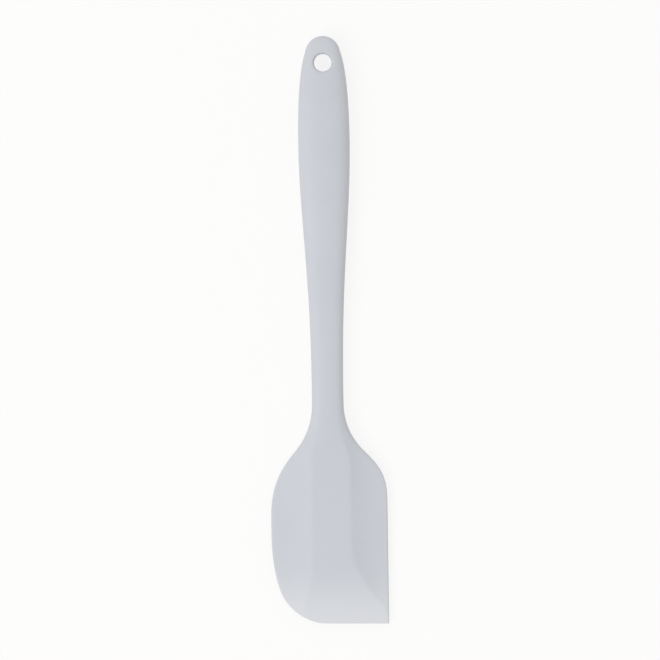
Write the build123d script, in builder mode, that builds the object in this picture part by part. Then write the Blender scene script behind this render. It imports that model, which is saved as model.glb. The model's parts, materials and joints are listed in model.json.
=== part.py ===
"""One-piece silicone spatula: a silicone moulding cured round a stiff nylon core.

The spatula lies on a table with its front face up. X runs across the blade to its square
corner, Y along the handle to the hanging hole, and Z up. It rests on the belly of the handle
and on the panel of the blade, so its mid-plane leans a little down to the blade.
All lengths are in millimetres. A place along the spatula is its distance from the end of
the handle, and a name that ends in "at" holds such a place.
"""

from build123d import *
from math import asin, atan, cos, radians, sin, sqrt, tan
import os

# Handle
overall_length = 280.4
belly_at = 54.0
belly_half_width = 12.35
belly_half_thickness = 6.9
neck_at = 175.4
neck_half_width = 7.5
neck_half_thickness = 4.9
end_face_relief = 0.15

# Blade
blade_half_width = 27.8
blade_half_thickness = 3.3
left_panel_half_width = 8.2
right_panel_half_width = 10.1
edge_half_thickness = 0.75
lip_half_thickness = 0.55
lip_rim_radius = 0.35
shoulder_length = 51.0
hollow_setback = 4.0
hollow_run = 27.0
thinning_length = 30.0
left_flare_length = 30.0
right_flare_length = 33.0
right_flare_end = 7.0

# Plan outline of the blade
left_hollow_radius = 34.1
left_shoulder_radius = 41.8
right_hollow_radius = 31.5
right_shoulder_radius = 25.4
side_bow_radius = 80.5
side_bow_length = 39.5
corner_radius = 24.1
corner_trim = 0.05
lip_slant = 0.84

# Hanging hole
hole_at = 12.8
hole_radius = 4.2
hole_rim_radius = 0.9
hole_land = 0.8

# Core inside the silicone
skin_thickness = 2.0
hole_lining = 1.6
eye_width = 2.7
web_thickness = 2.4
spine_thickness = 3.0
rib_width = 2.0
rib_pitch = 20.0
solid_neck_length = 30.0
tongue_half_width = 9.0
tongue_setback = 32.0
tongue_hole_radius = 2.5
tongue_hole_pitch = 11.0
tongue_hole_count = 4

# Places that follow from those sizes
lip_at = overall_length - blade_half_width * tan(radians(lip_slant))
hollow_start_at = neck_at + hollow_setback
hollow_full_at = hollow_start_at + hollow_run
blade_full_at = neck_at + shoulder_length
thinning_at = lip_at - thinning_length
tongue_end_at = lip_at - tongue_setback
tongue_round_at = tongue_end_at - tongue_half_width


def ease(share):
    """A smooth step from 0 to 1 that starts and ends level."""
    held = min(max(share, 0), 1)
    return held * held * (3 - 2 * held)


def between(start, end, share):
    return start + (end - start) * share


# Handle: it swells from a blunt end to its belly, then runs out softly into the neck.
swell_power_share = 2.5
end_width_root_share = 1 / 3
end_thickness_root_share = 1 / 2.2


def handle_size(at, belly_size, neck_size, end_root_share):
    """Half a width or half a thickness of the handle."""
    if at <= belly_at:
        swell = 1 - ((belly_at - at) / (belly_at + end_face_relief)) ** swell_power_share
        return belly_size * swell**end_root_share
    share = (at - belly_at) / (neck_at - belly_at)
    return between(neck_size, belly_size, (1 - share) ** 3 * (1 + 3 * share))


# Shoulders: on each side a hollow arc leaves the neck and a round arc, tangent to it,
# meets the straight side of the blade.
def shoulder_end(hollow_radius, shoulder_radius):
    across = neck_half_width + hollow_radius - blade_half_width + shoulder_radius
    return neck_at + sqrt((hollow_radius + shoulder_radius) ** 2 - across**2)


def shoulder_size(at, hollow_radius, shoulder_radius):
    end_at = shoulder_end(hollow_radius, shoulder_radius)
    turn_at = between(neck_at, end_at, hollow_radius / (hollow_radius + shoulder_radius))
    if at <= turn_at:
        return neck_half_width + hollow_radius - sqrt(hollow_radius**2 - (at - neck_at) ** 2)
    rise = max(end_at - at, 0)
    return blade_half_width - shoulder_radius + sqrt(shoulder_radius**2 - rise**2)


# Lower left: the side bows in and a tighter arc, tangent to the bow, turns into the lip.
bow_at = lip_at - side_bow_length
corner_centre_at = lip_at - corner_radius + corner_trim
bow_centre = side_bow_radius - blade_half_width
centre_gap = side_bow_radius - corner_radius
corner_turn = asin((corner_centre_at - bow_at) / centre_gap)
corner_centre = centre_gap * cos(corner_turn) - bow_centre
corner_start_at = bow_at + side_bow_radius * sin(corner_turn)


def left_half_width(at):
    if at <= neck_at:
        return handle_size(at, belly_half_width, neck_half_width, end_width_root_share)
    if at <= bow_at:
        return shoulder_size(at, left_hollow_radius, left_shoulder_radius)
    if at <= corner_start_at:
        return sqrt(side_bow_radius**2 - (at - bow_at) ** 2) - bow_centre
    return sqrt(corner_radius**2 - (at - corner_centre_at) ** 2) + corner_centre


def right_half_width(at):
    if at <= neck_at:
        return handle_size(at, belly_half_width, neck_half_width, end_width_root_share)
    return shoulder_size(at, right_hollow_radius, right_shoulder_radius)


# Thickness: the blade's flat panel thins in a round slope down to the lip's round edge.
def half_thickness(at):
    if at <= neck_at:
        return handle_size(
            at, belly_half_thickness, neck_half_thickness, end_thickness_root_share
        )
    if at <= thinning_at:
        share = ease((at - neck_at) / (blade_full_at - neck_at))
        return between(neck_half_thickness, blade_half_thickness, share)
    share = (at - thinning_at) / thinning_length
    into_rim = min(max(at - (lip_at - lip_rim_radius), 0), lip_rim_radius)
    rounding = lip_rim_radius - sqrt(lip_rim_radius**2 - into_rim**2)
    return between(blade_half_thickness, lip_half_thickness, share**2) - rounding


# Panel: it is flat to its crease. Towards the lip its slope spreads out to the blade's side,
# and on the right it cuts the hollow flank off before the square corner.
crease_start_share = 0.5
spread_full_share = 0.97
left_spread_power_share = 2.8
right_spread_power_share = 1.5


def crease_width(half_width, panel_half_width, spread):
    inner = min(panel_half_width, crease_start_share * half_width)
    return between(inner, half_width, spread_full_share * spread)


def left_crease(at):
    spread = max(at - lip_at + left_flare_length, 0) / left_flare_length
    return crease_width(
        left_half_width(at), left_panel_half_width, spread**left_spread_power_share
    )


def right_crease(at):
    run = right_flare_length - right_flare_end
    spread = min(max(at - lip_at + right_flare_length, 0) / run, 1)
    return crease_width(
        right_half_width(at), right_panel_half_width, spread**right_spread_power_share
    )


# Resting pose: the mid-plane leans until the handle's belly and the blade's panel both touch
# the table. The lip stays a little clear of it.
lean_steps = 200
lean_shares = [step / lean_steps for step in range(lean_steps)]
handle_places = [neck_at * share for share in lean_shares]
blade_places = [between(lip_at, neck_at, share) for share in lean_shares]
lean = atan(
    min(
        max((half_thickness(a) - half_thickness(b)) / (b - a) for a in handle_places)
        for b in blade_places
    )
)
end_y = overall_length / 2 * cos(lean)
end_z = max(at * sin(lean) + half_thickness(at) * cos(lean) for at in blade_places)
mid_plane = Plane(origin=(0, end_y, end_z), x_dir=(1, 0, 0), z_dir=(0, -sin(lean), cos(lean)))


def station(at):
    """The plane of a section, seen from the handle. Near the lip it turns with the lip."""
    turn = lip_slant * ease((at - blade_full_at) / (corner_start_at - blade_full_at))
    across = mid_plane.from_local_coords(Vector(1, 0, 0).rotate(Axis.Z, -turn))
    across -= mid_plane.origin
    origin = mid_plane.from_local_coords((0, -at, 0))
    return Plane(origin=origin, x_dir=across, z_dir=across.cross(mid_plane.z_dir))


# Sections: each quarter is one curve with seven control points, from its edge to its middle.
# The hollow flank's points lie to both sides of it, which draws its edge and crease tight.
round_across_shares = (1, 1, 0.89, 0.77, 0.60, 0.50, 0)
round_height_shares = (0, 0.47, 0.62, 0.79, 0.875, 1, 1)
hollow_across_shares = (0, 0, 0.19, 1.13, 0.93, 0.85)
hollow_height_shares = (0.61, -0.91, 0.69, 1.22, 1, 1)


def half_section(at, half_width, crease):
    """Control points of a quarter: round in the handle, hollow ground in the blade."""
    height = half_thickness(at)
    edge = min(edge_half_thickness, height)
    hollow_across = [between(half_width, crease, share) for share in hollow_across_shares] + [0]
    hollow_height = [0] + [between(edge, height, share) for share in hollow_height_shares]
    blend = ease((at - hollow_start_at) / (hollow_full_at - hollow_start_at))
    return [
        (between(half_width * across, flat_across, blend), between(height * high, flat_high, blend))
        for across, high, flat_across, flat_high in zip(
            round_across_shares, round_height_shares, hollow_across, hollow_height
        )
    ]


def form_section(at):
    """A closed section of four curves. Front and back meet on the parting line."""
    left = half_section(at, left_half_width(at), left_crease(at))
    right = half_section(at, right_half_width(at), right_crease(at))
    outline = [
        Bezier(*[(-across, height) for across, height in left]),
        Bezier(*[(across, height) for across, height in reversed(right)]),
        Bezier(*[(across, -height) for across, height in right]),
        Bezier(*[(-across, -height) for across, height in reversed(left)]),
    ]
    return station(at) * Face(Wire(outline))


# Places of the sections, closest together where the outline turns fastest. Round the
# hanging hole one straight stretch gives its rim an even land.
end_shares = (0, 0.05, 0.16, 0.36, 0.66)
swell_shares = (0, 0.1, 0.22, 0.38, 0.57, 0.78)
handle_shares = (0, 0.12, 0.25, 0.38, 0.5, 0.62, 0.74, 0.87)
shoulder_shares = (0, 0.1, 0.2, 0.3, 0.4, 0.5, 0.6, 0.7, 0.8, 0.9)
side_shares = (0, 0.33, 0.67)
corner_shares = (0, 0.19, 0.37, 0.54, 0.7, 0.85)
lip_rim_shares = (0.5, 0.85, 1)
land_reach = hole_radius + hole_rim_radius + hole_land
corner_end_turn = asin((lip_at - corner_centre_at) / corner_radius)
form_stations = [(hole_at - land_reach) * share for share in end_shares]
form_stations += [hole_at - land_reach]
form_stations += [between(hole_at + land_reach, belly_at, share) for share in swell_shares]
form_stations += [between(belly_at, neck_at, share) for share in handle_shares]
form_stations += [between(neck_at, blade_full_at, share) for share in shoulder_shares]
form_stations += [between(blade_full_at, corner_start_at, share) for share in side_shares]
form_stations += [
    corner_centre_at + corner_radius * sin(between(corner_turn, corner_end_turn, share))
    for share in corner_shares
]
form_stations += [between(lip_at - lip_rim_radius, lip_at, share) for share in lip_rim_shares]

form_sections = [form_section(at) for at in form_stations]
with BuildPart() as form:
    loft(form_sections, ruled=True, clean=False)
    with BuildSketch(mid_plane):
        with Locations((0, -hole_at)):
            Circle(hole_radius)
    extrude(amount=belly_half_thickness, both=True, mode=Mode.SUBTRACT, clean=False)
    bore = form.faces().filter_by(GeomType.CYLINDER)
    fillet(bore.edges().filter_by(GeomType.LINE, reverse=True), hole_rim_radius)


# Core: a web in the mid-plane, stiffened along the handle by a spine and cross ribs and
# solid round the neck. The silicone lies one skin thickness over it and fills its holes.
web_swell_shares = (0.25, 0.5, 0.75)
web_handle_shares = (0, 0.2, 0.4, 0.6, 0.8)
web_tongue_shares = (0, 0.25, 0.5, 0.75)
spine_shares = (0.1, 0.22, 0.4, 0.6, 0.8)
neck_shares = (0, 0.5, 1)


def core_half_width(at):
    if at <= neck_at:
        return right_half_width(at) - skin_thickness
    spread = ease((at - neck_at) / (hollow_full_at - neck_at))
    return between(neck_half_width - skin_thickness, tongue_half_width, spread)


def core_half_height(at):
    return half_thickness(at) - skin_thickness


eye_radius = hole_radius + hole_lining
eye_half_width = eye_radius + eye_width
rib_start_at = hole_at + eye_radius + rib_width
neck_start_at = neck_at - solid_neck_length / 2
neck_end_at = neck_at + solid_neck_length / 2
rib_count = int((neck_start_at - rib_start_at) / rib_pitch) + 1
rib_places = [rib_start_at + rib_pitch * number for number in range(rib_count)]
neck_places = [between(neck_start_at, neck_end_at, share) for share in neck_shares]
tongue_hole_places = [
    tongue_round_at - tongue_hole_pitch * number for number in range(tongue_hole_count)
]
web_places = [between(hole_at, belly_at, share) for share in web_swell_shares]
web_places += [between(belly_at, neck_at, share) for share in web_handle_shares]
web_places += [between(neck_at, tongue_round_at, share) for share in web_tongue_shares]
spine_places = [rib_start_at]
spine_places += [between(rib_start_at, neck_end_at, share) for share in spine_shares]
spine_places += [neck_end_at]
along_plane = Plane(origin=mid_plane.origin, x_dir=mid_plane.y_dir, z_dir=mid_plane.x_dir)

with BuildPart() as nylon_core:
    with BuildSketch(mid_plane.offset(-web_thickness / 2)):
        with BuildLine():
            side = Polyline(
                (eye_half_width, -hole_at),
                *[(core_half_width(at), -at) for at in web_places],
                (tongue_half_width, -tongue_round_at),
            )
            ThreePointArc(side @ 1, (0, -tongue_end_at), (-tongue_half_width, -tongue_round_at))
            ThreePointArc(side @ 0, (0, eye_half_width - hole_at), (-eye_half_width, -hole_at))
            mirror(side, about=Plane.YZ)
        make_face()
    extrude(amount=web_thickness)
    with BuildSketch(along_plane):
        with BuildLine():
            crest = Polyline(*[(-at, core_half_height(at)) for at in spine_places])
            mirror(crest, about=Plane.XZ)
            Line(crest @ 0, (-rib_start_at, -core_half_height(rib_start_at)))
            Line(crest @ 1, (-neck_end_at, -core_half_height(neck_end_at)))
        make_face()
    extrude(amount=spine_thickness / 2, both=True)
    for at in rib_places:
        with BuildSketch(station(at)):
            Ellipse(core_half_width(at), core_half_height(at))
        extrude(amount=rib_width)
    for at in neck_places:
        with BuildSketch(station(at)):
            Ellipse(core_half_width(at), core_half_height(at))
    loft(ruled=True)
    with BuildSketch(mid_plane):
        with Locations((0, -hole_at)):
            Circle(eye_radius)
        with Locations(*[(0, -at) for at in tongue_hole_places]):
            Circle(tongue_hole_radius)
    extrude(amount=belly_half_thickness, both=True, mode=Mode.SUBTRACT)

with BuildPart() as silicone_overmould:
    add(form.part)
    add(nylon_core.part, mode=Mode.SUBTRACT, clean=False)

os.makedirs("parts", exist_ok=True)
silicone_overmould.part.label = "silicone_overmould"
nylon_core.part.label = "nylon_core"
export_step(silicone_overmould.part, "parts/silicone_overmould.step")
export_step(nylon_core.part, "parts/nylon_core.step")
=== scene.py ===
import bmesh
import bpy
import json
from math import asin, cos, hypot, radians, sin, sqrt, tan
from mathutils import Matrix, Vector


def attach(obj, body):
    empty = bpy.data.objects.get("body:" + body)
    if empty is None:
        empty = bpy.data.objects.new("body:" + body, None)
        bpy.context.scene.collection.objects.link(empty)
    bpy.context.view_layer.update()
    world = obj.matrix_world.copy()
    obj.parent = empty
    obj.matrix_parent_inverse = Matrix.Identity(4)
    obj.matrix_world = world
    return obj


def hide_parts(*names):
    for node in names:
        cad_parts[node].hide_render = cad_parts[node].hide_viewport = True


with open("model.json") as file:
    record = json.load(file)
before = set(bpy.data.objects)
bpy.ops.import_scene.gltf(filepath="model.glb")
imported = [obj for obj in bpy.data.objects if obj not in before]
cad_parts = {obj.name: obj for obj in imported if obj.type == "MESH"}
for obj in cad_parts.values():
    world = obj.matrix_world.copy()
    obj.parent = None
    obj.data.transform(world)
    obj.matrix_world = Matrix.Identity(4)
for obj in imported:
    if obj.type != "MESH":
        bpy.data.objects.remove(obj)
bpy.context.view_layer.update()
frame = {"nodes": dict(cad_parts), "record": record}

# Nylon core: the stiff insert of glass-filled nylon that the silicone is cured round. It is
# injection moulded first, and its ribs and holes key it to the silicone. It is sealed in,
# so only its own finish is set here, on the frame's piece.
core_colour = (0.70, 0.68, 0.61, 1)
core_cloud_colour = (0.63, 0.61, 0.54, 1)
glass_fibre_colour = (0.80, 0.79, 0.74, 1)
core_cloud_size = 0.012
core_cloud_reach = (0.35, 0.7)
glass_fibre_length = 0.0016
glass_fibre_width = 0.00012
glass_fibre_reach = (0.6, 0.75)
glass_fibre_strength = 0.5
core_roughness = 0.52
core_cloud_roughness = 0.1
glass_fibre_roughness = 0.08
moulded_grain_size = 0.0004
moulded_grain_depth = 0.000008


class Finish:
    """A socket in a finish. Sums and products of finishes are new finishes."""

    def __init__(self, nodes, links, socket):
        self.nodes = nodes
        self.links = links
        self.socket = socket

    def node(self, kind, settings=None, values=None, output=0):
        made = self.nodes.new(kind)
        for name, setting in (settings or {}).items():
            setattr(made, name, setting)
        for name, value in (values or {}).items():
            if isinstance(value, Finish):
                self.links.new(value.socket, made.inputs[name])
            else:
                made.inputs[name].default_value = value
        return Finish(self.nodes, self.links, made.outputs[output])

    def maths(self, operation, first, second):
        return self.node("ShaderNodeMath", {"operation": operation}, {0: first, 1: second})

    def __add__(self, other):
        return self.maths("ADD", self, other)

    __radd__ = __add__

    def __mul__(self, other):
        return self.maths("MULTIPLY", self, other)

    __rmul__ = __mul__

    def __sub__(self, other):
        return self.maths("SUBTRACT", self, other)

    def __rsub__(self, other):
        return self.maths("SUBTRACT", other, self)

    def __truediv__(self, other):
        return self.maths("DIVIDE", self, other)

    def __abs__(self):
        return self.maths("ABSOLUTE", self, 0)

    def held(self, lowest, highest):
        return self.maths("MINIMUM", self.maths("MAXIMUM", self, lowest), highest)

    def eased(self, start, end):
        """From 0 at start to 1 at end, level at both."""
        return self.node(
            "ShaderNodeMapRange",
            {"interpolation_type": "SMOOTHSTEP"},
            {"Value": self, "From Min": start, "From Max": end},
        )


def new_finish(name):
    """A material, the place on the piece in its own coordinates, and its surface shader."""
    material = bpy.data.materials.new(name)
    material.use_nodes = True
    nodes = material.node_tree.nodes
    place = nodes.new("ShaderNodeTexCoord").outputs["Object"]
    return material, Finish(nodes, material.node_tree.links, place), nodes["Principled BSDF"]


def grain(place, size, detail=2, roughness=0.5, stretch=(1, 1, 1)):
    """A soft random pattern, from 0 to 1, with features of about one size."""
    stretched = place.node(
        "ShaderNodeMapping",
        {"vector_type": "POINT"},
        {"Vector": place, "Scale": stretch},
    )
    return place.node(
        "ShaderNodeTexNoise",
        {},
        {"Vector": stretched, "Scale": 1 / size, "Detail": detail, "Roughness": roughness},
    )


def mixed(factor, first, second):
    """A colour between two colours, which go into the node's sockets 6 and 7."""
    return factor.node(
        "ShaderNodeMix",
        {"data_type": "RGBA"},
        {"Factor": factor, 6: first, 7: second},
        output=2,
    )


def connect(finish, shader, name):
    finish.links.new(finish.socket, shader.inputs[name])


nylon, place, shader = new_finish("glass_filled_nylon")
clouds = grain(place, core_cloud_size, detail=3).eased(*core_cloud_reach)
slimness = glass_fibre_length / glass_fibre_width
strands = grain(place, glass_fibre_length, detail=1, stretch=(slimness, 1, slimness))
fibres = strands.eased(*glass_fibre_reach)
pellet_tone = mixed(clouds, core_colour, core_cloud_colour)
connect(mixed(fibres * glass_fibre_strength, pellet_tone, glass_fibre_colour), shader, "Base Color")
dullness = core_roughness + core_cloud_roughness * clouds + glass_fibre_roughness * fibres
connect(dullness, shader, "Roughness")
skin = grain(place, moulded_grain_size, detail=2)
skin_bump = place.node("ShaderNodeBump", {}, {"Height": skin, "Distance": moulded_grain_depth})
connect(skin_bump, shader, "Normal")

core = frame["nodes"]["nylon_core"]
core.data.materials.clear()
core.data.materials.append(nylon)

# Silicone overmould: handle, neck, blade and the lining of the hanging hole, one moulding of
# grey silicone rubber. It is cured round the core in a two-part mould that meets at the
# mid-plane, and the blade's thin sides are hollow ground so that they bend in a bowl.
overall_length = 0.2804
belly_at = 0.054
belly_half_width = 0.01235
belly_half_thickness = 0.0069
neck_at = 0.1754
neck_half_width = 0.0075
neck_half_thickness = 0.0049
end_face_relief = 0.00015
swell_power = 2.5
width_root = 1 / 3
thickness_root = 1 / 2.2
handle_roundness = 2.6
neck_roundness = 3.0
end_radius = 0.0084
end_radius_reach = (0.0045, 0.0095)
end_flat = 0.00005

blade_half_width = 0.0278
blade_half_thickness = 0.0033
left_panel_width = 0.0082
right_panel_width = 0.0101
edge_half_thickness = 0.00075
lip_half_thickness = 0.00055
shoulder_length = 0.051
hollow_setback = 0.004
hollow_run = 0.027
left_hollow_power = 1.6
right_hollow_power = 2.3
thinning_length = 0.030
thinning_power = 2

# A flare: how far before the lip it starts and ends, and how late it swings out.
left_flare = (0.030, 0.000, 2.8)
right_flare = (0.033, 0.007, 1.5)
flare_fullness = 0.97

left_hollow_radius = 0.0341
left_shoulder_radius = 0.0418
right_hollow_radius = 0.0315
right_shoulder_radius = 0.0254
side_bow_radius = 0.0805
side_bow_length = 0.0395
corner_radius = 0.0241
corner_trim = 0.00005
lip_slant = radians(0.84)

hole_radius = 0.0042
hole_rim_radius = 0.0013

lip_at = overall_length - blade_half_width * tan(lip_slant)
hollow_start_at = neck_at + hollow_setback
hollow_full_at = hollow_start_at + hollow_run
blade_full_at = neck_at + shoulder_length
thinning_at = lip_at - thinning_length


def between(start, end, share):
    return start + (end - start) * share


def ease(share):
    held = min(max(share, 0), 1)
    return held * held * (3 - 2 * held)


def handle_size(at, belly_size, neck_size, end_root):
    """Half a width or thickness: it swells from the blunt end and runs out into the neck."""
    if at <= belly_at:
        swell = 1 - ((belly_at - at) / (belly_at + end_face_relief)) ** swell_power
        return belly_size * swell**end_root
    share = (at - belly_at) / (neck_at - belly_at)
    return between(neck_size, belly_size, (1 - share) ** 3 * (1 + 3 * share))


def handle_half_width(at):
    """It starts as a round end and goes over into the swell."""
    swell = handle_size(at, belly_half_width, neck_half_width, width_root)
    start, end = end_radius_reach
    if at >= end:
        return swell
    round_end = sqrt(end_radius**2 - (end_radius - max(at, end_flat)) ** 2)
    return between(round_end, swell, ease((at - start) / (end - start)))


def shoulder_size(at, hollow_radius, shoulder_radius):
    """Half a width of the shoulder: a hollow arc, then a round arc up to the straight side."""
    reach = hollow_radius + shoulder_radius
    across = neck_half_width + reach - blade_half_width
    end_at = neck_at + sqrt(reach**2 - across**2)
    turn_at = between(neck_at, end_at, hollow_radius / reach)
    if at <= turn_at:
        return neck_half_width + hollow_radius - sqrt(hollow_radius**2 - (at - neck_at) ** 2)
    rise = max(end_at - at, 0)
    return blade_half_width - shoulder_radius + sqrt(shoulder_radius**2 - rise**2)


bow_at = lip_at - side_bow_length
corner_centre_at = lip_at - corner_radius + corner_trim
corner_turn = asin((corner_centre_at - bow_at) / (side_bow_radius - corner_radius))
corner_end_turn = asin((lip_at - corner_centre_at) / corner_radius)
corner_start_at = bow_at + side_bow_radius * sin(corner_turn)
bow_centre = side_bow_radius - blade_half_width
corner_centre = (side_bow_radius - corner_radius) * cos(corner_turn) - bow_centre


def left_half_width(at):
    if at <= neck_at:
        return handle_half_width(at)
    if at <= bow_at:
        return shoulder_size(at, left_hollow_radius, left_shoulder_radius)
    if at <= corner_start_at:
        return sqrt(side_bow_radius**2 - (at - bow_at) ** 2) - bow_centre
    return sqrt(corner_radius**2 - (at - corner_centre_at) ** 2) + corner_centre


def right_half_width(at):
    if at <= neck_at:
        return handle_half_width(at)
    return shoulder_size(at, right_hollow_radius, right_shoulder_radius)


def half_thickness(at):
    if at <= neck_at:
        return handle_size(at, belly_half_thickness, neck_half_thickness, thickness_root)
    if at <= thinning_at:
        share = ease((at - neck_at) / (blade_full_at - neck_at))
        return between(neck_half_thickness, blade_half_thickness, share)
    share = (at - thinning_at) / thinning_length
    full = between(blade_half_thickness, lip_half_thickness, share**thinning_power)
    into_rim = min(max(at - (lip_at - lip_half_thickness), 0), lip_half_thickness)
    return full - lip_half_thickness + sqrt(max(lip_half_thickness**2 - into_rim**2, 0))


# Each half of a section has twelve points, from the parting line at its edge to its middle:
# turns round the handle's oval, or the edge's turn, the hollow flank and the flat panel.
oval_turns = (0, 9, 18, 27, 36, 44, 51, 57.5, 63.5, 74.1, 83.2, 90)
edge_turns = (0, 30, 60, 90)
flank_shares = (0.24, 0.48, 0.72, 0.92)
panel_shares = (1, 0.78, 0.4, 0)
side_point_count = len(oval_turns) - 1


def oval_roundness(at):
    """The handle's oval grows a little squarer towards the neck."""
    share = ease((at - belly_at) / (neck_at - belly_at))
    return between(handle_roundness, neck_roundness, share)


def oval_point(at, number, half_width, height):
    turn = radians(oval_turns[number])
    root = 2 / oval_roundness(at)
    return half_width * max(cos(turn), 0) ** root, height * sin(turn) ** root


def blade_point(number, half_width, height, crease, panel_width, hollow_power):
    """The flank falls from the crease alike everywhere, so where it is narrow its edge is thick."""

    def flank_height(across):
        share = 1 - (across - crease) / (blade_half_width - panel_width)
        return between(min(edge_half_thickness, height), height, max(share, 0) ** hollow_power)

    edge_width = min(edge_half_thickness, (half_width - crease) / 2)
    edge = half_width - edge_width
    if number < len(edge_turns):
        turn = radians(edge_turns[number])
        return edge + edge_width * cos(turn), flank_height(edge) * sin(turn)
    number -= len(edge_turns)
    if number < len(flank_shares):
        across = between(edge, crease, flank_shares[number])
        return across, flank_height(across)
    return crease * panel_shares[number - len(flank_shares)], height


def crease_width(at, half_width, panel_width, flare):
    """Where the flat panel ends. Near the lip the panel's slope spreads to the blade's side."""
    start, end, power = flare
    spread = min(max((at - lip_at + start) / (start - end), 0), 1) ** power
    inner = min(panel_width, half_width / 2)
    return between(inner, half_width - edge_half_thickness, flare_fullness * spread)


def surface_point(at, number, left):
    """A point of the front, as its place across and its height over the mid-plane."""
    if left:
        half_width = left_half_width(at)
        panel_width, flare, hollow_power = left_panel_width, left_flare, left_hollow_power
    else:
        half_width = right_half_width(at)
        panel_width, flare, hollow_power = right_panel_width, right_flare, right_hollow_power
    height = half_thickness(at)
    crease = crease_width(at, half_width, panel_width, flare)
    blend = ease((at - hollow_start_at) / (hollow_full_at - hollow_start_at))
    oval = oval_point(at, number, half_width, height)
    flat = blade_point(number, half_width, height, crease, panel_width, hollow_power)
    across = between(oval[0], flat[0], blend)
    return (-across if left else across), between(oval[1], flat[1], blend)


# Places of the rows along the handle and blade. Six steps lie beside the hanging hole.
hole_at = 0.0128
hole_reach = hole_radius + hole_rim_radius
hole_steps = (-1, -0.66, -0.32, 0, 0.32, 0.66, 1)
hole_cells = len(hole_steps) // 2
end_shares = (0, 0.03, 0.09, 0.19, 0.33, 0.52, 0.75)
swell_shares = (0.06, 0.18, 0.34, 0.54, 0.77)
handle_shares = (0, 0.12, 0.25, 0.38, 0.5, 0.62, 0.74, 0.87)
shoulder_shares = (0, 0.08, 0.16, 0.24, 0.32, 0.4, 0.48, 0.56, 0.64, 0.72, 0.8, 0.9)
side_shares = (0, 0.25, 0.5, 0.75)
corner_shares = (0, 0.16, 0.32, 0.47, 0.61, 0.74, 0.86)
rim_shares = (0.1, 0.55, 0.86, 1)
hole_front_at = hole_at - hole_reach
hole_back_at = hole_at + hole_reach
row_places = [hole_front_at * share for share in end_shares]
middle_hole_row = len(row_places) + hole_cells
row_places += [hole_at + hole_reach * step for step in hole_steps]
row_places += [between(hole_back_at, belly_at, share) for share in swell_shares]
row_places += [between(belly_at, neck_at, share) for share in handle_shares]
row_places += [between(neck_at, blade_full_at, share) for share in shoulder_shares]
row_places += [between(blade_full_at, corner_start_at, share) for share in side_shares]
row_places += [
    corner_centre_at + corner_radius * sin(between(corner_turn, corner_end_turn, share))
    for share in corner_shares
]
row_places += [between(lip_at - lip_half_thickness, lip_at, share) for share in rim_shares]
row_count = len(row_places) - 1
column_count = 2 * side_point_count

# The front half is one sheet, laid over the form row by row, with the hanging hole cut out.
half_sheet = 0.5
shape = bmesh.new()
bmesh.ops.create_grid(shape, x_segments=column_count, y_segments=row_count, size=half_sheet)


def sheet_place(place):
    """The row and the column of a place on the flat sheet."""
    return (half_sheet - place.y) * row_count, (half_sheet + place.x) * column_count


hole_faces = []
for face in shape.faces:
    row, column = sheet_place(face.calc_center_median())
    if abs(row - middle_hole_row) < hole_cells and abs(column - side_point_count) < hole_cells:
        hole_faces.append(face)
hole_edge = set()
for face in hole_faces:
    for edge in face.edges:
        if not all(other in hole_faces for other in edge.link_faces):
            hole_edge.update(edge.verts)
for vert in shape.verts:
    row, column = (round(number) for number in sheet_place(vert.co))
    at = row_places[row]
    left = column < side_point_count
    number = column if left else column_count - column
    across, height = surface_point(at, number, left)
    if row in (0, row_count):
        height = 0
    if vert in hole_edge:
        reach = hypot(across, at - hole_at)
        across *= hole_reach / reach
        at = hole_at + (at - hole_at) * hole_reach / reach
        bulge = 1 - (abs(across) / left_half_width(at)) ** handle_roundness
        height = half_thickness(at) * bulge ** (1 / handle_roundness)
    turn = lip_slant * ease((at - blade_full_at) / (corner_start_at - blade_full_at))
    vert.co = (across * cos(turn), -at - across * sin(turn), height)
bmesh.ops.delete(shape, geom=hole_faces, context="FACES")

# Hanging hole: its rim is rounded, and its lining runs straight through. Smoothing draws a
# ring of points inwards, so the lining's ring is laid out that much wider.
lining_radius = hole_radius * 3 / (2 + cos(radians(360 / len(hole_edge))))
rim_turns = (0, 30, 60, 90)
rim_edges = []
for edge in shape.edges:
    if edge.is_boundary and all(vert in hole_edge for vert in edge.verts):
        rim_edges.append(edge)


def next_ring(edges):
    """Draws out a ring of open edges, and gives the new ring's edges and its points."""
    made = bmesh.ops.extrude_edge_only(shape, edges=edges)["geom"]
    ring_edges = [item for item in made if isinstance(item, bmesh.types.BMEdge)]
    ring_verts = [item for item in made if isinstance(item, bmesh.types.BMVert)]
    return [edge for edge in ring_edges if edge.is_boundary], ring_verts


for turn_before, turn in zip(rim_turns, rim_turns[1:]):
    rim_edges, rim_verts = next_ring(rim_edges)
    reach = lining_radius + hole_rim_radius * (1 - sin(radians(turn)))
    drop = hole_rim_radius * (cos(radians(turn_before)) - cos(radians(turn)))
    for vert in rim_verts:
        away = Vector((vert.co.x, vert.co.y + hole_at)).normalized() * reach
        vert.co = (away.x, away.y - hole_at, vert.co.z - drop)
rim_edges, rim_verts = next_ring(rim_edges)
for vert in rim_verts:
    vert.co.z = 0

# The back is the front's mirror image. The mid-plane lies where the frame's hole has it.
seam_merge = 0.00001
double_merge = 0.000001
front = shape.faces[:] + shape.edges[:] + shape.verts[:]
bmesh.ops.mirror(shape, geom=front, axis="Z", merge_dist=seam_merge)
bmesh.ops.remove_doubles(shape, verts=shape.verts, dist=double_merge)

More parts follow.
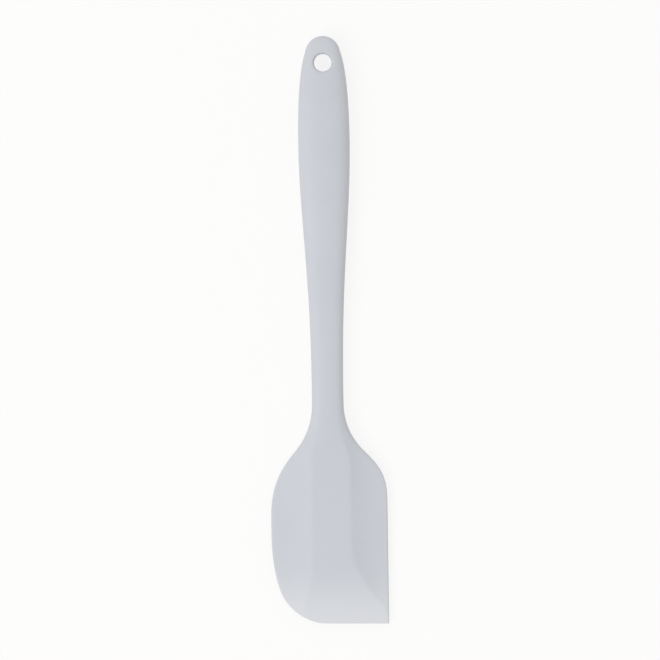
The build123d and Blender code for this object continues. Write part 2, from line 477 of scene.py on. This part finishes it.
# At the sheet's corners the front and the back shared two edges, and now they share one.
sheet_corners = [vert for vert in shape.verts if len(vert.link_edges) == 2]
bmesh.ops.dissolve_verts(shape, verts=sheet_corners)
bmesh.ops.recalc_face_normals(shape, faces=shape.faces)
hole = frame["record"]["mounts"][0]
facing = Vector(hole["axis"]).normalized()
upward = facing.cross(Vector((1, 0, 0)))
turned = Matrix((Vector((1, 0, 0)), upward, facing)).transposed().to_4x4()
handle_end = Vector(hole["pos_m"]) + upward * hole_at
bmesh.ops.transform(shape, matrix=Matrix.Translation(handle_end) @ turned, verts=shape.verts)
for face in shape.faces:
    face.smooth = True
mesh = bpy.data.meshes.new("silicone_overmould_skin")
shape.to_mesh(mesh)
shape.free()
overmould = bpy.data.objects.new("silicone_overmould_skin", mesh)
bpy.context.collection.objects.link(overmould)
rounding = overmould.modifiers.new("rounding", "SUBSURF")
rounding.levels = 2
rounding.render_levels = 2

silicone_colour = (0.594, 0.613, 0.654, 1)
silicone_cloud_colour = (0.582, 0.602, 0.644, 1)
# Painted light: this paler tone, painted over the last stretch to the lip, stands in for light
# shining through the thin silicone.
lip_painted_light_colour = (0.690, 0.706, 0.738, 1)
dusty_sheen_colour = (1.0, 0.95, 0.90, 1)
silicone_cloud_size = 0.018
silicone_cloud_reach = (0.3, 0.7)
silicone_roughness = 0.44
silicone_cloud_roughness = 0.06
mould_texture_roughness = 0.05
silicone_gloss = 0.4
dusty_sheen_weight = 0.2
dusty_sheen_roughness = 0.4
mould_texture_size = 0.00045
mould_texture_depth = 0.000004
parting_line_width = 0.00025
parting_line_height = 0.00003

silicone, place, shader = new_finish("satin_grey_silicone")
along = place.node("ShaderNodeSeparateXYZ", {}, {"Vector": place}, output="Y")
up = place.node("ShaderNodeSeparateXYZ", {}, {"Vector": place}, output="Z")
over_parting = (along - handle_end.y) * facing.y + (up - handle_end.z) * facing.z
to_lip = (handle_end.y - along) / upward.y
clouds = grain(place, silicone_cloud_size, detail=4).eased(*silicone_cloud_reach)
# Painted light: from the start of the thinning to the lip, the base colour is painted paler in
# place of light shining through the thin silicone.
lip_painted_light = to_lip.eased(thinning_at, lip_at)
body_tone = mixed(clouds, silicone_colour, silicone_cloud_colour)
connect(mixed(lip_painted_light, body_tone, lip_painted_light_colour), shader, "Base Color")
texture = grain(place, mould_texture_size, detail=3, roughness=0.6)
dullness = silicone_roughness + silicone_cloud_roughness * clouds
connect(dullness + mould_texture_roughness * texture, shader, "Roughness")
texture_bump = place.node(
    "ShaderNodeBump",
    {},
    {"Height": texture, "Distance": mould_texture_depth},
)
near_parting = 1 - (abs(over_parting) / parting_line_width).held(0, 1)
line_bump = place.node(
    "ShaderNodeBump",
    {},
    {"Height": near_parting, "Distance": parting_line_height, "Normal": texture_bump},
)
connect(line_bump, shader, "Normal")
shader.inputs["Specular IOR Level"].default_value = silicone_gloss
shader.inputs["Sheen Weight"].default_value = dusty_sheen_weight
shader.inputs["Sheen Roughness"].default_value = dusty_sheen_roughness
shader.inputs["Sheen Tint"].default_value = dusty_sheen_colour
mesh.materials.append(silicone)

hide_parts("silicone_overmould")
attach(overmould, "root")

# Studio: the spatula lies on a white sweep under broad soft lamps, and the camera looks
# straight down at it from far above.
photo_size = 660
photo_scale = 0.00047619
photo_centre = Vector((0.0015785, 0.000163, 0.007))
camera_height = 3.0
camera_reach = 20
sensor_millimetres = 36
floor_size = 6.0
paper_colour = (0.92, 0.90, 0.87, 1)
paper_roughness = 0.9
paper_glow = 0.84
white = (1, 1, 1, 1)
sky_light = 0.66
lamp_size = 1.2
broad_lamp_place = (-1.1, -0.7, 1.6)
broad_lamp_power = 13.8
end_lamp_place = (-0.5, 1.5, 1.3)
end_lamp_power = 5.5

camera_data = bpy.data.cameras.new("photo_camera")
camera_data.sensor_width = sensor_millimetres
camera_data.lens = sensor_millimetres * camera_height / (photo_size * photo_scale)
camera_data.clip_end = camera_reach
camera = bpy.data.objects.new("photo_camera", camera_data)
bpy.context.collection.objects.link(camera)
camera.location = photo_centre + Vector((0, 0, camera_height))
camera.rotation_euler = (0, 0, -lip_slant)
bpy.context.scene.camera = camera

floor_shape = bmesh.new()
bmesh.ops.create_grid(floor_shape, x_segments=1, y_segments=1, size=floor_size / 2)
floor_mesh = bpy.data.meshes.new("white_sweep")
floor_shape.to_mesh(floor_mesh)
floor_shape.free()
floor = bpy.data.objects.new("white_sweep", floor_mesh)
bpy.context.collection.objects.link(floor)

paper, place, shader = new_finish("white_paper")
shader.inputs["Base Color"].default_value = paper_colour
shader.inputs["Roughness"].default_value = paper_roughness
shader.inputs["Specular IOR Level"].default_value = 0


def seen_rays(start):
    """1 for the rays that show a background: from the camera, a gloss or a clear piece."""
    seen = start.node("ShaderNodeLightPath", {}, {}, output="Is Camera Ray")
    for name in ("Is Glossy Ray", "Is Transmission Ray"):
        seen = seen.maths("MAXIMUM", seen, start.node("ShaderNodeLightPath", {}, {}, output=name))
    return seen


lit = Finish(place.nodes, place.links, shader.outputs["BSDF"])
bright = place.node("ShaderNodeEmission", {}, {"Color": white, "Strength": 1.0})
glow = seen_rays(place) * paper_glow
glowing_paper = place.node("ShaderNodeMixShader", {}, {0: glow, 1: lit, 2: bright})
connect(glowing_paper, place.nodes["Material Output"], "Surface")
floor_mesh.materials.append(paper)


def soft_lamp(name, place, power):
    """A square lamp that faces the spatula."""
    data = bpy.data.lights.new(name, "AREA")
    data.shape = "SQUARE"
    data.size = lamp_size
    data.energy = power
    lamp = bpy.data.objects.new(name, data)
    bpy.context.collection.objects.link(lamp)
    lamp.location = place
    lamp.rotation_euler = (-Vector(place)).to_track_quat("-Z", "Y").to_euler()


soft_lamp("broad_lamp", broad_lamp_place, broad_lamp_power)
soft_lamp("end_lamp", end_lamp_place, end_lamp_power)
world = bpy.data.worlds.new("studio")
bpy.context.scene.world = world
world.use_nodes = True
sky = world.node_tree.nodes["Background"]
sky.inputs["Color"].default_value = white
sky_rays = seen_rays(Finish(world.node_tree.nodes, world.node_tree.links, None))
connect(sky_rays * (1 - sky_light) + sky_light, sky, "Strength")
bpy.context.scene.view_settings.view_transform = "Standard"
